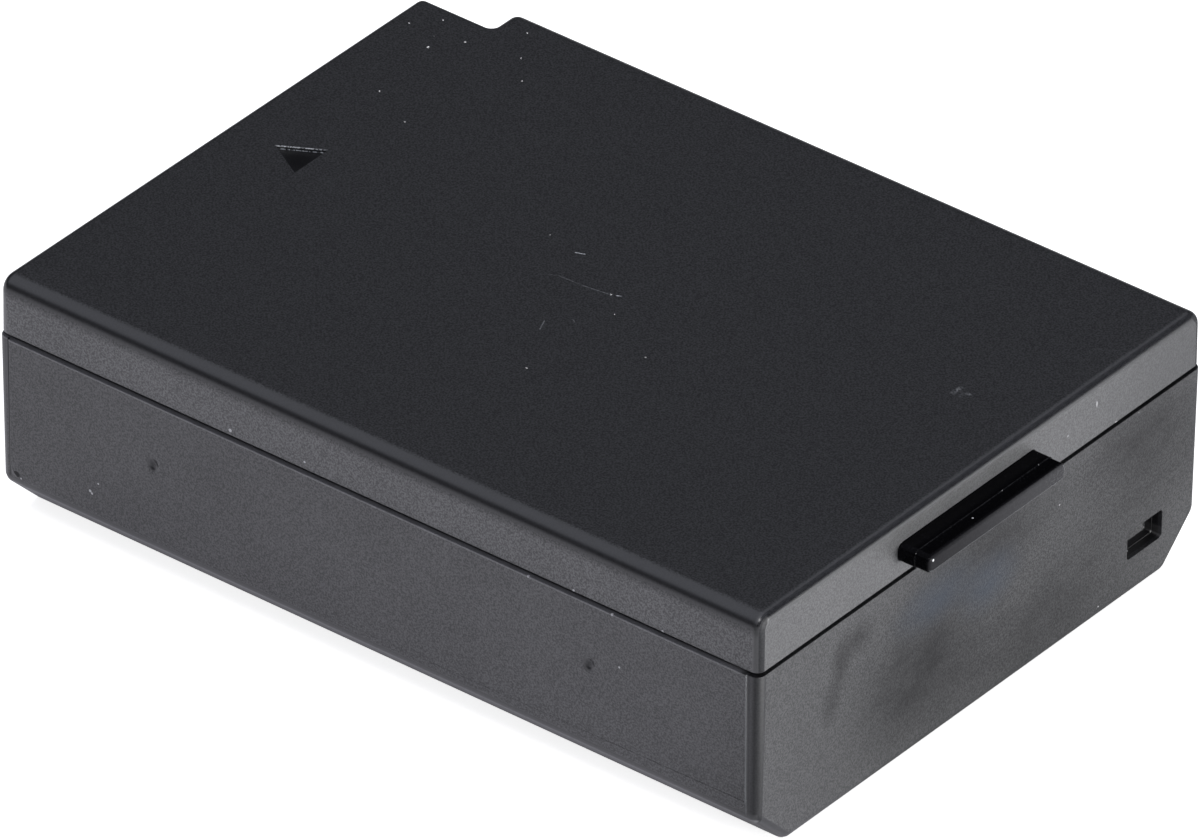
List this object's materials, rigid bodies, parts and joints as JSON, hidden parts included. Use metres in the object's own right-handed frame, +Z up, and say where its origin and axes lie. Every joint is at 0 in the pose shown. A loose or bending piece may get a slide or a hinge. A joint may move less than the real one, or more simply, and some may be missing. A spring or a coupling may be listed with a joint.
{
  "type": "camera battery",
  "caption": "Flat rechargeable camera battery: moulded base and lid with chamfered long edges, a key notch, a finger tab, an arrow recess and recessed end contacts.",
  "frame": {"origin": "middle of the flat bottom face, on the case without its finger tab", "axes": "+X along the length from the contact end to the finger tab, +Y across the width to the notched side, +Z up"},
  "size_m": [0.0511, 0.0364, 0.0147],
  "materials": {
    "case_plastic": "fine spark-eroded texture, charcoal black",
    "cell_can": "drawn can, satin",
    "adhesive_tape": "double-sided tape",
    "foam": "closed-cell foam",
    "header_paper": "vulcanised fibre sheet",
    "nickel_strip": "nickel strip",
    "board_laminate": "solder-masked laminate",
    "carrier_plastic": "moulded frame",
    "gold_contact": "gold-plated flat contact",
    "chip_mould": "epoxy moulding",
    "passive_body": "ceramic body",
    "fuse_body": "thermal fuse body"
  },
  "bodies": {
    "root": {"case_base": "case_plastic", "case_lid": "case_plastic", "cell_lower": "cell_can", "cell_upper": "cell_can", "header_paper_lower": "header_paper", "header_paper_upper": "header_paper", "floor_tape": "adhesive_tape", "middle_tape": "adhesive_tape", "lid_foam": "foam", "end_pad": "foam", "circuit_board": "board_laminate", "board_carrier": "carrier_plastic", "series_link": "nickel_strip", "middle_tap": "nickel_strip", "positive_strip": "nickel_strip", "negative_strip": "nickel_strip", "thermal_fuse": "fuse_body", "protection_chip": "chip_mould", "switch_chip": "chip_mould", "chip_resistors": "passive_body", "chip_capacitors": "passive_body", "thermistor": "passive_body", "contact_1": "gold_contact", "contact_2": "gold_contact", "contact_3": "gold_contact", "contact_4": "gold_contact"}
  },
  "joints": []
}
